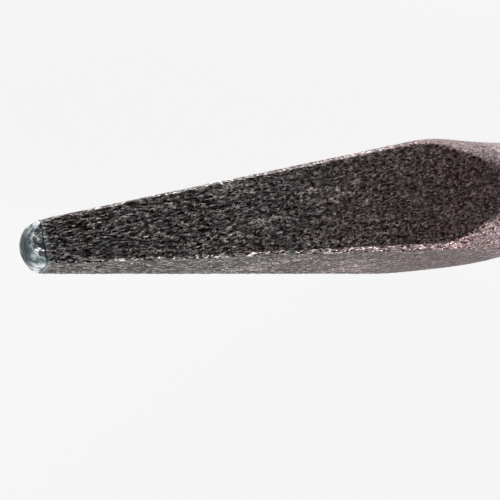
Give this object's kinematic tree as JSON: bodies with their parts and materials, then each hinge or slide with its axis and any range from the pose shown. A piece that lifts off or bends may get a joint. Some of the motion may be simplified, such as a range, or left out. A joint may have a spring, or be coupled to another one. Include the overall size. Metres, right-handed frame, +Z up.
{
  "type": "point chisel bit",
  "caption": "Square-tapered pointed chisel bit with a blunt ground nose, flared shoulder, round bar and slotted quick-change hammer shank.",
  "frame": {"origin": "centre of the struck face at the rear of the shank, on the bit's axis", "axes": "+X along the bit's axis, from the point towards the struck face; +Z up, square to one flat of the point, over the single drive slot; +Y square to the next flat, over a lock recess"},
  "size_m": [0.28, 0.0192, 0.0192],
  "materials": {
    "ground_nose": "ground and polished, bluish, bright",
    "braze": "pale silver braze, dull",
    "blasted_forging": "shot-blasted forging skin, grey with a purple-brown cast, rough, semi-bright on the high spots",
    "machined_shank": "turned and milled steel, lightly blasted, satin"
  },
  "bodies": {
    "root": {"hard_nose": "ground_nose", "nose_braze": "braze", "forged_point": "blasted_forging", "drive_shank": "machined_shank"}
  },
  "joints": []
}
